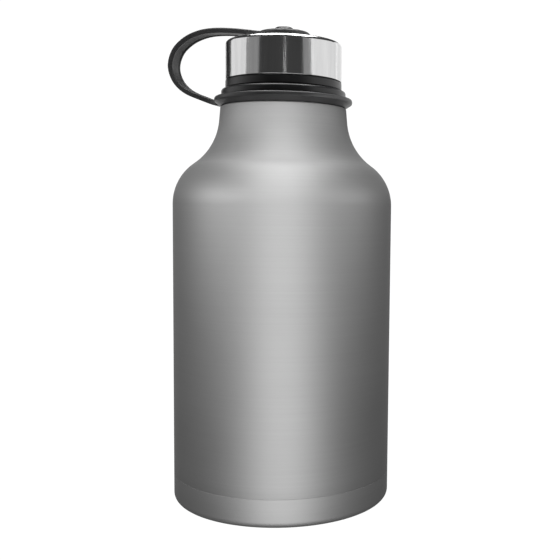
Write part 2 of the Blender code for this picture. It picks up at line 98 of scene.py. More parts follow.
# base, and the weld seam between it and the shell
SEAM_HALF_GAP = 0.01 * MM
SEAM_LOW = SEAM - SEAM_HALF_GAP
SEAM_HIGH = SEAM + SEAM_HALF_GAP
SEAM_EDGE = 0.12 * MM               # rounding of both edges at the seam
BASE_CORNER = 4.0 * MM
FOOT_INNER = 50.0 * MM
RECESS_OUTER = 48.5 * MM
RECESS_INNER = 21.5 * MM
RECESS_DEPTH = 1.6 * MM
DISC_RADIUS = 20.0 * MM

# thread, as in the CAD
THREAD_LEAD = 8.0 * MM
THREAD_STARTS = 2
THREAD_HEIGHT = 1.5 * MM
THREAD_HALF_WIDTH = 1.0 * MM
PLUG_RADIUS = 28.7 * MM
PLUG_THREAD_Z = LIP_TOP - 13.6 * MM
NECK_THREAD_Z = LIP_TOP - 10.8 * MM

# tether
STRAP_WIDTH = 11.5 * MM
STRAP_THICKNESS = 2.9 * MM
STRAP_ROUTE = [             # (distance from the axis, height over the ring's bottom) in MM
    (35.0, 2.4),
    (40.0, 3.0),
    (48.0, 5.7),
    (58.8, 10.2),
    (65.5, 16.5),
    (68.2, 24.9),
    (65.5, 33.4),
    (58.8, 39.4),
    (50.3, 42.8),
    (41.4, 43.9),
    (31.0, 43.5),
    (21.4, 42.4),
    (14.0, 41.1),
    (8.0, 40.1),
]
PAD_SIDES = 160
TETHER_VOXEL = 0.38 * MM    # mesh size that blends the strap into the ring and the pad

# camera, turned about the bottle's axis from its -Y side
CAMERA_AZIMUTH = math.radians(20.0)
CAMERA_DISTANCE = 0.5021
CAMERA_HEIGHT = 0.1677
CAMERA_YAW = math.radians(-5.76)
CAMERA_PITCH = math.radians(-4.78)
CAMERA_ROLL = math.radians(-0.74)
CAMERA_LENS = 55.69          # in millimetres, like the sensor
CAMERA_SENSOR = 36.0
CAMERA_SHIFT = -0.1607

# most of a noise texture's values lie between these
NOISE_LOW = 0.3
NOISE_HIGH = 0.7

# studio
PANEL_AIM = 170.0 * MM       # height that most lights point at
NECK_AIM = RING_LOW - 10.0 * MM
WHITE = 1.05                 # strength at which the floor and the backdrop read as white


# ---- camera -------------------------------------------------------------------------------------

def make_camera():
    """Camera level with the top of the bottle's straight side, looking slightly down."""
    data = bpy.data.cameras.new("camera")
    data.lens = CAMERA_LENS
    data.sensor_width = CAMERA_SENSOR
    data.shift_x = CAMERA_SHIFT
    data.clip_start = 0.01
    data.clip_end = 50.0
    camera = bpy.data.objects.new("camera", data)
    camera.matrix_world = (
        Matrix.Rotation(CAMERA_AZIMUTH, 4, "Z")
        @ Matrix.Translation((0.0, -CAMERA_DISTANCE, CAMERA_HEIGHT))
        @ Matrix.Rotation(CAMERA_YAW, 4, "Z")
        @ Matrix.Rotation(CAMERA_PITCH, 4, "X")
        @ Matrix.Rotation(CAMERA_ROLL, 4, "Y")
        @ Matrix.Rotation(math.radians(90.0), 4, "X")
    )
    bpy.context.scene.collection.objects.link(camera)
    bpy.context.scene.camera = camera


# ---- mesh helpers -------------------------------------------------------------------------------

def arc(centre_r, centre_z, radius, start_deg, end_deg, steps):
    """Points of a round stretch of an outline, both ends included."""
    points = []
    for i in range(steps + 1):
        angle = math.radians(start_deg + (end_deg - start_deg) * i / steps)
        points.append((centre_r + radius * math.cos(angle), centre_z + radius * math.sin(angle)))
    return points


def corner_arc(before, here, after, size, steps):
    """Points of the arc that rounds the corner between two straight stretches."""
    here = Vector(here)
    back = Vector(before) - here
    ahead = Vector(after) - here
    half = back.angle(ahead) / 2.0
    reach = min(size / math.tan(half), 0.49 * back.length, 0.49 * ahead.length)
    radius = reach * math.tan(half)
    middle = (back.normalized() + ahead.normalized()).normalized()
    centre = here + middle * (radius / math.sin(half))
    first = here + back.normalized() * reach - centre
    last = here + ahead.normalized() * reach - centre
    turn = -first.angle_signed(last)
    points = []
    for k in range(steps + 1):
        a = turn * k / steps
        x = first.x * math.cos(a) - first.y * math.sin(a)
        y = first.x * math.sin(a) + first.y * math.cos(a)
        points.append((centre.x + x, centre.y + y))
    return points


def rounded(corners, steps=5):
    """A closed outline from (radius, height, rounding) corners."""
    points = []
    count = len(corners)
    for i, (r, z, size) in enumerate(corners):
        if size <= 0.0:
            points.append((r, z))
        else:
            points += corner_arc(corners[i - 1][:2], (r, z), corners[(i + 1) % count][:2],
                                 size, steps)
    return points


def rounded_line(corners, steps=5):
    """An open outline from (radius, height, rounding) corners; both ends stay sharp."""
    points = [corners[0][:2]]
    for before, (r, z, size), after in zip(corners, corners[1:], corners[2:]):
        points += corner_arc(before[:2], (r, z), after[:2], size, steps)
    return points + [corners[-1][:2]]


def add_mesh(name, bm):
    """A smooth-shaded object from a bmesh, with its sharp edges kept."""
    bmesh.ops.recalc_face_normals(bm, faces=bm.faces)
    mesh = bpy.data.meshes.new(name)
    bm.to_mesh(mesh)
    bm.free()
    mesh.shade_smooth()
    mesh.set_sharp_from_angle(angle=SMOOTH_ANGLE)
    obj = bpy.data.objects.new(name, mesh)
    bpy.context.scene.collection.objects.link(obj)
    return obj


def turned_bm(outline, sides):
    """A closed (radius, height) outline turned about the Z axis."""
    bm = bmesh.new()
    columns = []
    for i in range(sides):
        angle = 2.0 * math.pi * i / sides
        c, s = math.cos(angle), math.sin(angle)
        column = []
        for k, (r, z) in enumerate(outline):
            if r < 1e-7:
                column.append(columns[0][k] if columns else bm.verts.new((0.0, 0.0, z)))
            else:
                column.append(bm.verts.new((r * c, r * s, z)))
        columns.append(column)
    count = len(outline)
    for i in range(sides):
        near, far = columns[i], columns[(i + 1) % sides]
        for k in range(count):
            j = (k + 1) % count
            corners = []
            for vert in (near[k], far[k], far[j], near[j]):
                if vert not in corners:
                    corners.append(vert)
            if len(corners) > 2:
                bm.faces.new(corners)
    return bm


def turned(name, outline, sides=ROUND_SIDES):
    """An object from a closed (radius, height) outline."""
    return add_mesh(name, turned_bm(outline, sides))


def sweep_tube(bm, sections):
    """A closed tube through a list of sections that have the same number of corners."""
    rings = [[bm.verts.new(corner) for corner in section] for section in sections]
    for near, far in zip(rings, rings[1:]):
        for i in range(len(near)):
            j = (i + 1) % len(near)
            bm.faces.new((near[i], near[j], far[j], far[i]))
    bm.faces.new(rings[0])
    bm.faces.new(list(reversed(rings[-1])))


def smooth_route(route, steps):
    """Points on a Catmull-Rom curve through the route, with its direction at each point."""
    first = tuple(2.0 * a - b for a, b in zip(route[0], route[1]))
    last = tuple(2.0 * a - b for a, b in zip(route[-1], route[-2]))
    knots = [Vector(p) for p in [first] + list(route) + [last]]
    result = []
    for k in range(1, len(knots) - 2):
        before, start, end, after = knots[k - 1:k + 3]
        final = k == len(knots) - 3
        for i in range(steps + (1 if final else 0)):
            t = i / steps
            bend = 2.0 * before - 5.0 * start + 4.0 * end - after
            twist = 3.0 * start - before - 3.0 * end + after
            point = 0.5 * (2.0 * start + (end - before) * t + bend * t ** 2 + twist * t ** 3)
            slope = 0.5 * ((end - before) + 2.0 * bend * t + 3.0 * twist * t ** 2)
            result.append((point, slope.normalized()))
    return result


def apply_modifiers(obj):
    """Turns what the modifiers make into the object's own mesh."""
    depsgraph = bpy.context.evaluated_depsgraph_get()
    mesh = bpy.data.meshes.new_from_object(obj.evaluated_get(depsgraph))
    obj.modifiers.clear()
    obj.data = mesh


def join_solids(obj, other):
    """A true union of two closed solids, which uses up the second."""
    union = obj.modifiers.new("join", "BOOLEAN")
    union.operation = "UNION"
    union.solver = "EXACT"
    union.object = other
    apply_modifiers(obj)
    bpy.data.objects.remove(other, do_unlink=True)
    obj.data.shade_smooth()
    obj.data.set_sharp_from_angle(angle=SMOOTH_ANGLE)
    return obj


# ---- bottle -------------------------------------------------------------------------------------

def shoulder(body_radius, body_top, bulge, hollow, angle, slope, inset=0.0, steps=28):
    """The S-shaped shoulder from the straight side up to the neck, moved in by inset."""
    centre_r = body_radius - bulge
    points = arc(centre_r, body_top, bulge - inset, 0.0, math.degrees(angle), steps)
    turn_r = centre_r + (bulge + hollow) * math.cos(angle)
    turn_z = body_top + (bulge + hollow) * math.sin(angle)
    start = 180.0 + math.degrees(angle)
    end = 180.0 + math.degrees(slope)
    points += arc(turn_r, turn_z, hollow + inset, start, end, steps)[1:]
    return points


def make_shell():
    """Outer wall from the seam up to the neck, with the waist under the lip."""
    curve = (BODY_RADIUS, BODY_TOP, SHOULDER_RADIUS, HOLLOW_RADIUS, SHOULDER_ANGLE, NECK_SLOPE)
    outside = shoulder(*curve)
    inside = shoulder(*curve, inset=SHEET)
    neck_r = outside[-1][0] - (NECK_TOP - outside[-1][1]) * math.tan(NECK_SLOPE)
    neck_edge = 0.6 * MM
    under_lip = LIP_TOP - LIP_THICKNESS - 0.3 * MM
    bands = 24
    outline = arc(BODY_RADIUS - SEAM_EDGE, SEAM_HIGH + SEAM_EDGE, SEAM_EDGE, -90.0, 0.0, 4)
    for i in range(1, bands):
        outline.append((BODY_RADIUS, SEAM_HIGH + (BODY_TOP - SEAM_HIGH) * i / bands))
    outline += outside
    outline += arc(neck_r - neck_edge, NECK_TOP - neck_edge, neck_edge, 0.0, 90.0, 6)
    outline += [
        (WAIST_RADIUS, NECK_TOP),
        (WAIST_RADIUS, under_lip),
        (WAIST_RADIUS - SHEET, under_lip),
        (WAIST_RADIUS - SHEET, NECK_TOP - SHEET),
        (neck_r - SHEET, NECK_TOP - SHEET),
    ]
    outline += list(reversed(inside))
    outline += [(BODY_RADIUS - SHEET, SEAM_HIGH)]
    return turned("bottle_shell", outline)


def make_base():
    """Base cap: rounded corner, foot ring, pressed recess and a flat middle disc."""
    corner_r = BODY_RADIUS - BASE_CORNER
    bend = 0.6 * MM
    wall = 0.4 * MM         # how far the sheet's upper face is set sideways at a slope
    lower = rounded_line([
        (corner_r, 0.0, 0.0),
        (FOOT_INNER, 0.0, bend),
        (RECESS_OUTER, RECESS_DEPTH, bend),
        (RECESS_INNER, RECESS_DEPTH, bend),
        (DISC_RADIUS, 0.0, bend),
        (0.0, 0.0, 0.0),
    ])
    upper = [
        (0.0, SHEET),
        (DISC_RADIUS - wall, SHEET),
        (RECESS_INNER - wall, RECESS_DEPTH + SHEET),
        (RECESS_OUTER + wall, RECESS_DEPTH + SHEET),
        (FOOT_INNER + wall, SHEET),
    ]
    outline = [(BODY_RADIUS - SHEET, SEAM_LOW)]
    outline += arc(BODY_RADIUS - SEAM_EDGE, SEAM_LOW - SEAM_EDGE, SEAM_EDGE, 90.0, 0.0, 4)
    outline += arc(corner_r, BASE_CORNER, BASE_CORNER, 0.0, -90.0, 20)
    outline += lower[1:] + upper
    outline += arc(corner_r, BASE_CORNER, BASE_CORNER - SHEET, -90.0, 0.0, 12)
    return turned("base_cap", outline)


def thread(root_radius, outward, start_z, start_angle):
    """Two helical ridges with rounded crests that run out at both ends."""
    bm = bmesh.new()
    steps = 120
    profile_steps = 6
    sign = 1.0 if outward else -1.0
    root = root_radius - sign * 0.35 * MM
    nudge = math.radians(0.37)          # keeps the ridges off the facets' edges for the union
    for start in range(THREAD_STARTS):
        sections = []
        for i in range(steps + 1):
            along = i / steps
            angle = start_angle + nudge + 2.0 * math.pi * (along + start / THREAD_STARTS)
            z = start_z + THREAD_LEAD * along
            ramp = min(1.0, 9.0 * along + 0.05, 9.0 * (1.0 - along) + 0.05)
            corners = [(root, z - THREAD_HALF_WIDTH)]
            for k in range(profile_steps + 1):
                across = -1.0 + 2.0 * k / profile_steps
                lift = THREAD_HEIGHT * ramp * math.cos(across * math.pi / 2.0) ** 0.7
                corners.append((root_radius + sign * lift, z + across * THREAD_HALF_WIDTH * 0.98))
            corners.append((root, z + THREAD_HALF_WIDTH))
            sections.append([(r * math.cos(angle), r * math.sin(angle), h) for r, h in corners])
        sweep_tube(bm, sections)
    return add_mesh("thread_ridges", bm)


def make_flask():
    """Inner vessel, drawn as one: body, shoulder, threaded neck and rolled-out lip."""
    neck_outer = MOUTH_RADIUS + SHEET
    across = (FLASK_RADIUS - neck_outer) / (1.0 - math.cos(SHOULDER_ANGLE))
    curve = (
        FLASK_RADIUS,
        FLASK_BODY_TOP,
        FLASK_SHOULDER_RADIUS,
        across - FLASK_SHOULDER_RADIUS,
        SHOULDER_ANGLE,
        0.0,
    )
    outside = shoulder(*curve, steps=16)
    inside = shoulder(*curve, inset=SHEET, steps=16)
    half = LIP_THICKNESS / 2.0
    lip_mid = LIP_TOP - half
    bend = 0.5 * MM
    outline = [(FLASK_RADIUS, FLASK_LOW)] + outside
    outline += [(neck_outer, lip_mid - half - bend), (neck_outer + bend, lip_mid - half)]
    outline += arc(LIP_RADIUS - half, lip_mid, half, -90.0, 90.0, 10)
    outline += arc(MOUTH_RADIUS + half, lip_mid, half, 90.0, 180.0, 6)
    outline += list(reversed(inside)) + [(FLASK_RADIUS - SHEET, FLASK_LOW)]
    flask = turned("flask_vessel", outline, INNER_SIDES)
    lag = (NECK_THREAD_Z - PLUG_THREAD_Z - THREAD_LEAD / THREAD_STARTS / 2.0) / THREAD_LEAD
    return join_solids(flask, thread(MOUTH_RADIUS, False, NECK_THREAD_Z, 2.0 * math.pi * lag))


# ---- lid ----------------------------------------------------------------------------------------

def make_lid_moulding():
    """Flange, bead, threaded plug and the spigot inside the cap, with the stud's seat."""
    flange_low = LIP_TOP + 0.4 * MM
    flange_top = LIP_TOP + 4.5 * MM
    gasket_top = LIP_TOP + 2.3 * MM
    bead_low = LIP_TOP + 5.0 * MM
    bead_top = CAP_LOW - 0.3 * MM
    spigot = CAP_RADIUS - SHEET - 0.4 * MM
    deck = CAP_HIGH - 1.2 * MM
    boss_low = LIP_TOP + 19.6 * MM
    cavity_top = LIP_TOP + 24.1 * MM
    groove = 33.9 * MM                  # outer radius of the gasket's groove
    under_bead = CAP_RADIUS - 0.9 * MM
    bead = CAP_RADIUS - 0.2 * MM
    stud_hole = 4.4 * MM
    stud_seat = STUD_LOW - 0.4 * MM
    screw_hole = 2.3 * MM
    boss = 8.0 * MM
    cavity = 25.5 * MM
    corners = [
        (cavity, PLUG_LOW, 0.3 * MM),
        (PLUG_RADIUS, PLUG_LOW, 1.2 * MM),
        (PLUG_RADIUS, gasket_top, 0.2 * MM),
        (groove, gasket_top, 0.2 * MM),
        (groove, flange_low, 0.2 * MM),
        (FLANGE_RADIUS, flange_low, 1.1 * MM),
        (FLANGE_RADIUS, flange_top, 1.5 * MM),
        (under_bead, flange_top, 0.3 * MM),
        (under_bead, bead_low, 0.3 * MM),
        (bead, bead_low, 1.4 * MM),
        (bead, bead_top, 1.4 * MM),
        (spigot, bead_top, 0.2 * MM),
        (spigot, deck, 1.8 * MM),
        (stud_hole, deck, 0.2 * MM),
        (stud_hole, stud_seat, 0.0),
        (screw_hole, stud_seat, 0.0),
        (screw_hole, boss_low, 0.0),
        (boss, boss_low, 0.4 * MM),
        (boss, cavity_top, 0.4 * MM),
        (cavity, cavity_top, 0.4 * MM),
    ]
    body = turned("lid_moulding", rounded(corners, steps=6), INNER_SIDES)
    return join_solids(body, thread(PLUG_RADIUS, True, PLUG_THREAD_Z, 0.0))


def make_cap():
    """Polished cup over the lid, rolled at its lower edge, with a hole for the stud."""
    corner = 2.5 * MM
    corner_r = CAP_RADIUS - corner
    roll = 0.35 * MM
    hole = 4.5 * MM
    hole_edge = 0.3 * MM
    bands = 8
    outline = arc(CAP_RADIUS - roll, CAP_LOW + roll, roll, -90.0, 0.0, 5)
    for i in range(1, bands - 1):
        outline.append((CAP_RADIUS, CAP_LOW + (CAP_HIGH - CAP_LOW) * i / bands))
    outline += arc(corner_r, CAP_HIGH - corner, corner, 0.0, 90.0, 16)
    outline += [
        (corner_r - 2.0 * MM, CAP_HIGH),
        (hole + hole_edge, CAP_HIGH),
        (hole, CAP_HIGH - hole_edge),
        (hole, CAP_HIGH - SHEET),
    ]
    outline += arc(corner_r, CAP_HIGH - corner, corner - SHEET, 90.0, 0.0, 10)
    outline += [(CAP_RADIUS - SHEET, CAP_LOW + 0.2 * MM)]
    return turned("polished_cap", outline)


def make_stud():
    """Headed stud with a dished crown, and a blind hole for its screw."""
    head_low = EYELET_HIGH + 1.1 * MM
    shank = 4.0 * MM
    edge = 0.3 * MM
    blind = 1.9 * MM
    blind_top = STUD_LOW + 7.3 * MM
    crown = 2.1 * MM                    # rounding of the head
    outline = [
        (0.0, STUD_HIGH - 0.35 * MM),
        (2.6 * MM, STUD_HIGH - 0.33 * MM),
        (3.1 * MM, STUD_HIGH - 0.12 * MM),
    ]
    outline += arc(3.6 * MM, STUD_HIGH - crown, crown, 90.0, 8.0, 10)
    outline += [
        (STUD_RADIUS, head_low + edge),
        (STUD_RADIUS - edge, head_low),
        (shank, head_low),
        (shank, STUD_LOW + edge),
        (shank - edge, STUD_LOW),
        (blind, STUD_LOW),
        (blind, blind_top),
        (0.0, blind_top),
    ]
    return turned("stud_head", outline, SMALL_SIDES)


# ---- tether -------------------------------------------------------------------------------------

def strap_section(point, slope, width, thickness, channel):
    """Corners of the strap's section, with a shallow channel in its inner face."""
    side = Vector((-slope.y, slope.x))
    half_w = width / 2.0
    half_t = thickness / 2.0
    bevel = 0.5 * MM
    inner_bevel = 0.3 * MM
    rim = 1.5 * MM
    slant = 0.5 * MM
    corners = [
        (-half_w + bevel, -half_t),
        (half_w - bevel, -half_t),
        (half_w, -half_t + bevel),
        (half_w, half_t - inner_bevel),
        (half_w - inner_bevel, half_t),
        (half_w - rim, half_t),
        (half_w - rim - slant, half_t - channel),
        (-half_w + rim + slant, half_t - channel),
        (-half_w + rim, half_t),
        (-half_w + inner_bevel, half_t),
        (-half_w, half_t - inner_bevel),
        (-half_w, -half_t + bevel),
    ]
    result = []
    for across, out in corners:
        place = point + side * out
        result.append((-place.x, across, place.y))
    return result


def make_ring():
    """Ring round the neck, with a step on its inside that clears the lip."""
    hole = 33.5 * MM
    skirt = 35.2 * MM
    rim = RING_RADIUS + 0.2 * MM
    rim_top = RING_HIGH + 1.4 * MM
    corners = [
        (hole, RING_LOW, 0.2 * MM),
        (skirt, RING_LOW, 0.3 * MM),
        (rim, RING_LOW + 2.5 * MM, 1.0 * MM),
        (rim, rim_top, 1.0 * MM),
        (skirt, rim_top, 0.2 * MM),
        (skirt, RING_HIGH, 0.1 * MM),
        (hole, RING_HIGH, 0.2 * MM),
    ]
    return turned("tether", rounded(corners), INNER_SIDES)


def make_strap():
    """Strap along its route: wider at both ends, with a channel between them."""
    root_length = 10.0 * MM
    tip_length = 16.0 * MM
    root_flare = 9.0 * MM
    tip_flare = 8.0 * MM
    plain_root = 8.0 * MM               # stretch at the ring without the channel
    fade = 5.0 * MM
    depth = 0.45 * MM
    route_steps = 8
    points = smooth_route([(r * MM, RING_LOW + z * MM) for r, z in STRAP_ROUTE], route_steps)
    lengths = [0.0]
    for (a, _), (b, _) in zip(points, points[1:]):
        lengths.append(lengths[-1] + (b - a).length)
    total = lengths[-1]
    sections = []
    for (point, slope), along in zip(points, lengths):
        left = total - along
        root = max(0.0, 1.0 - along / root_length) ** 2
        tip = max(0.0, 1.0 - left / tip_length) ** 2
        width = STRAP_WIDTH + root_flare * root + tip_flare * tip
        cut = min(1.0, max(0.0, (along - plain_root) / fade))
        cut *= min(1.0, max(0.0, (left - tip_length) / fade))
        sections.append(strap_section(point, slope, width, STRAP_THICKNESS, depth * cut))
    bm = bmesh.new()
    sweep_tube(bm, sections)
    return add_mesh("tether_strap", bm)


def make_pad():
    """Round pad with the eyelet that turns on the stud."""
    eyelet = 4.4 * MM
    corners = [
        (eyelet, EYELET_LOW, 0.3 * MM),
        (EYELET_RADIUS, EYELET_LOW, 1.0 * MM),
        (EYELET_RADIUS, EYELET_HIGH, 1.6 * MM),
        (eyelet, EYELET_HIGH, 0.3 * MM),
    ]
    return turned("tether_pad", rounded(corners), PAD_SIDES)


def make_tether():
    """Ring, strap and eyelet as the one moulded piece that they are."""
    pad = make_pad()
    obj = make_ring()
    join_solids(obj, make_strap())
    join_solids(obj, pad)
    remesh = obj.modifiers.new("voxels", "REMESH")
    remesh.mode = "VOXEL"
    remesh.voxel_size = TETHER_VOXEL
    relax = obj.modifiers.new("relax", "SMOOTH")
    relax.factor = 0.5
    relax.iterations = 4
    apply_modifiers(obj)
    obj.data.shade_smooth()
    return obj


# ---- materials ----------------------------------------------------------------------------------

def new_material(name, metallic=0.0, roughness=0.5):
    """A Principled material with its node tree and shader, ready for detail."""
    mat = bpy.data.materials.new(name)
    mat.use_nodes = True
    tree = mat.node_tree
    shader = tree.nodes["Principled BSDF"]
    shader.inputs["Roughness"].default_value = roughness
    shader.inputs["Metallic"].default_value = metallic
    return mat, tree, shader


def noise(tree, scale, stretch=(1.0, 1.0, 1.0), detail=3.0, rough=0.5):
    """Noise in the piece's own coordinates, stretched by scaling each axis."""
    place = tree.nodes.new("ShaderNodeTexCoord")
    mapping = tree.nodes.new("ShaderNodeMapping")
    mapping.inputs["Scale"].default_value = stretch
    texture = tree.nodes.new("ShaderNodeTexNoise")
    texture.inputs["Scale"].default_value = scale
    texture.inputs["Detail"].default_value = detail
    texture.inputs["Roughness"].default_value = rough
    tree.links.new(place.outputs["Object"], mapping.inputs["Vector"])
    tree.links.new(mapping.outputs["Vector"], texture.inputs["Vector"])
    return texture.outputs["Fac"]


def spread(tree, value, to_low, to_high, low=NOISE_LOW, high=NOISE_HIGH):
    """Maps a value from its range, a noise's unless it is given, to another."""
    node = tree.nodes.new("ShaderNodeMapRange")
    node.inputs["From Min"].default_value = low
    node.inputs["From Max"].default_value = high
    node.inputs["To Min"].default_value = to_low
    node.inputs["To Max"].default_value = to_high
    tree.links.new(value, node.inputs["Value"])
    return node.outputs["Result"]


def tint(tree, shader, value, dark, light):
    """A base colour between dark and light."""
    ramp = tree.nodes.new("ShaderNodeValToRGB")
    ramp.color_ramp.elements[0].color = (*dark, 1.0)
    ramp.color_ramp.elements[1].color = (*light, 1.0)
    ramp.color_ramp.elements[0].position = NOISE_LOW
    ramp.color_ramp.elements[1].position = NOISE_HIGH
    tree.links.new(value, ramp.inputs["Fac"])
    tree.links.new(ramp.outputs["Color"], shader.inputs["Base Color"])


def gloss(tree, shader, value, to_low, to_high, low=NOISE_LOW):
    """A roughness that follows a value."""
    tree.links.new(spread(tree, value, to_low, to_high, low), shader.inputs["Roughness"])


def bump(tree, shader, value, strength, distance):
    """Relief from a value, on the shader's normal."""
    node = tree.nodes.new("ShaderNodeBump")
    node.inputs["Strength"].default_value = strength
    node.inputs["Distance"].default_value = distance
    tree.links.new(value, node.inputs["Height"])
    tree.links.new(node.outputs["Normal"], shader.inputs["Normal"])


def satin_steel():
    """Steel brushed round the bottle's axis: fine rings, soft patches, a rougher neck."""
    mat, tree, shader = new_material("satin_steel", metallic=1.0)
    rings = noise(tree, 1.0, (12.0, 12.0, 1400.0), 4.0, 0.6)
    patches = noise(tree, 18.0, (1.0, 1.0, 1.6))
    tint(tree, shader, rings, (0.412, 0.412, 0.412), (0.428, 0.428, 0.428))
    mottle = spread(tree, patches, -0.01, 0.01)
    place = tree.nodes.new("ShaderNodeTexCoord")
    split = tree.nodes.new("ShaderNodeSeparateXYZ")
    tree.links.new(place.outputs["Object"], split.inputs["Vector"])
    neck_start = BODY_TOP + 20.0 * MM
    neck_end = NECK_TOP - 12.0 * MM
    rougher = spread(tree, split.outputs["Z"], 0.60, 0.70, neck_start, neck_end)
    total = tree.nodes.new("ShaderNodeMath")
    tree.links.new(mottle, total.inputs[0])
    tree.links.new(rougher, total.inputs[1])
    tree.links.new(total.outputs["Value"], shader.inputs["Roughness"])
    bump(tree, shader, rings, 0.03, 0.01 * MM)
    return mat


def polished_steel():
    """Polished steel with soft waves up the side and hairlines round it."""
    mat, tree, shader = new_material("polished_steel", metallic=1.0)
    smears = noise(tree, 60.0, (1.0, 1.0, 0.35))
    waves = noise(tree, 260.0, (1.0, 1.0, 0.05), rough=0.6)
    hairlines = noise(tree, 1.0, (30.0, 30.0, 2500.0), rough=0.6)
    wave_depth = 20.0                   # depth of the waves over that of the hairlines
    gloss(tree, shader, smears, 0.10, 0.17, low=0.35)
    tint(tree, shader, waves, (0.68, 0.68, 0.685), (0.80, 0.80, 0.80))
    height = tree.nodes.new("ShaderNodeMath")
    height.operation = "MULTIPLY_ADD"
    height.inputs[1].default_value = wave_depth
    tree.links.new(waves, height.inputs[0])
    tree.links.new(hairlines, height.inputs[2])
    bump(tree, shader, height.outputs["Value"], 0.5, 0.01 * MM)
    return mat


def bare_steel():
    """Bare drawn steel with turned rings."""
    mat, tree, shader = new_material("bare_steel", metallic=1.0)
    rings = noise(tree, 1.0, (15.0, 15.0, 1800.0), 4.0, 0.6)
    tint(tree, shader, rings, (0.56, 0.55, 0.54), (0.68, 0.67, 0.65))
    gloss(tree, shader, rings, 0.24, 0.36)
    bump(tree, shader, rings, 0.1, 0.02 * MM)
    return mat


def black_rubber():
    """Moulded rubber with a fine grain and a faint bloom."""
    mat, tree, shader = new_material("black_rubber")
    grain = noise(tree, 2600.0, rough=0.6)
    bloom = noise(tree, 90.0, detail=4.0)
    tint(tree, shader, bloom, (0.038, 0.038, 0.039), (0.052, 0.052, 0.053))
    gloss(tree, shader, bloom, 0.38, 0.52)
    bump(tree, shader, grain, 0.25, 0.03 * MM)
    return mat


def black_plastic(name, smooth, dull):
    """Moulded plastic, rubbed smooth in places between two roughnesses."""
    mat, tree, shader = new_material(name)
    grain = noise(tree, 1800.0, detail=2.0)
    rub = noise(tree, 110.0, detail=4.0)
    tint(tree, shader, rub, (0.011, 0.011, 0.012), (0.02, 0.02, 0.021))
    gloss(tree, shader, rub, smooth, dull)
    bump(tree, shader, grain, 0.12, 0.02 * MM)
    return mat


def silicone():
    """Milky silicone of the gasket."""
    mat, tree, shader = new_material("silicone")
    haze = noise(tree, 300.0)
    tint(tree, shader, haze, (0.66, 0.66, 0.64), (0.76, 0.76, 0.74))
    gloss(tree, shader, haze, 0.4, 0.55)
    shader.inputs["Subsurface Weight"].default_value = 0.1
    return mat


def foam():
    """Open foam cells of the lid's puck."""
    mat, tree, shader = new_material("lid_foam", roughness=0.9)
    cells = tree.nodes.new("ShaderNodeTexVoronoi")
    cells.inputs["Scale"].default_value = 900.0
    place = tree.nodes.new("ShaderNodeTexCoord")
    tree.links.new(place.outputs["Object"], cells.inputs["Vector"])
    tint(tree, shader, cells.outputs["Distance"], (0.74, 0.70, 0.60), (0.88, 0.85, 0.78))
    bump(tree, shader, cells.outputs["Distance"], 0.5, 0.2 * MM)
    return mat


def copper_foil():
    """Creased copper-coloured foil."""
    mat, tree, shader = new_material("foil", metallic=1.0)
    creases = noise(tree, 160.0, (1.0, 1.0, 0.5), 5.0, 0.65)
    tint(tree, shader, creases, (0.74, 0.48, 0.35), (0.86, 0.62, 0.48))
    gloss(tree, shader, creases, 0.16, 0.34)
    bump(tree, shader, creases, 0.6, 0.3 * MM)
    return mat


def seal_glass():
    """Dark solder glass."""
    mat, tree, shader = new_material("solder_glass", roughness=0.15)
    swirl = noise(tree, 700.0)
    tint(tree, shader, swirl, (0.12, 0.15, 0.12), (0.26, 0.30, 0.26))
    bump(tree, shader, swirl, 0.3, 0.1 * MM)
    return mat


def getter_powder():
    """Pressed grey powder."""
    mat, tree, shader = new_material("getter_powder", roughness=0.9)
    grit = noise(tree, 5000.0)
    tint(tree, shader, grit, (0.10, 0.095, 0.09), (0.26, 0.25, 0.24))
    bump(tree, shader, grit, 0.6, 0.1 * MM)
    return mat


# ---- studio -------------------------------------------------------------------------------------

def panel(name, azimuth, elevation, distance, width, height, radiance, group, aim=PANEL_AIM):
    """A soft rectangular light on one group of pieces. Its azimuth is in degrees to the right
    of the camera's side."""
    light = bpy.data.lights.new(name, "AREA")
    light.shape = "RECTANGLE"
    light.size = width
    light.size_y = height
    light.energy = radiance * math.pi * width * height
    obj = bpy.data.objects.new(name, light)
    a = CAMERA_AZIMUTH + math.radians(azimuth)
    e = math.radians(elevation)
    away = Vector((math.sin(a) * math.cos(e), -math.cos(a) * math.cos(e), math.sin(e)))
    obj.location = Vector((0.0, 0.0, aim)) + away * distance
    obj.rotation_mode = "QUATERNION"
    obj.rotation_quaternion = away.to_track_quat("Z", "Y")
    bpy.context.scene.collection.objects.link(obj)
    obj.light_linking.receiver_collection = group


def make_world():
    """White to the camera, and dim to everything that reflects it."""
    world = bpy.data.worlds.new("studio")
    world.use_nodes = True
    tree = world.node_tree
    tree.nodes.clear()
    out = tree.nodes.new("ShaderNodeOutputWorld")
    dim = tree.nodes.new("ShaderNodeBackground")
    dim.inputs["Color"].default_value = (1.0, 1.0, 1.0, 1.0)
    dim.inputs["Strength"].default_value = 0.05
    white = tree.nodes.new("ShaderNodeBackground")
    white.inputs["Color"].default_value = (1.0, 1.0, 1.0, 1.0)
    white.inputs["Strength"].default_value = WHITE
    path = tree.nodes.new("ShaderNodeLightPath")
    mix = tree.nodes.new("ShaderNodeMixShader")
    tree.links.new(path.outputs["Is Camera Ray"], mix.inputs["Fac"])
    tree.links.new(dim.outputs[0], mix.inputs[1])
    tree.links.new(white.outputs[0], mix.inputs[2])
    tree.links.new(mix.outputs[0], out.inputs["Surface"])
    bpy.context.scene.world = world


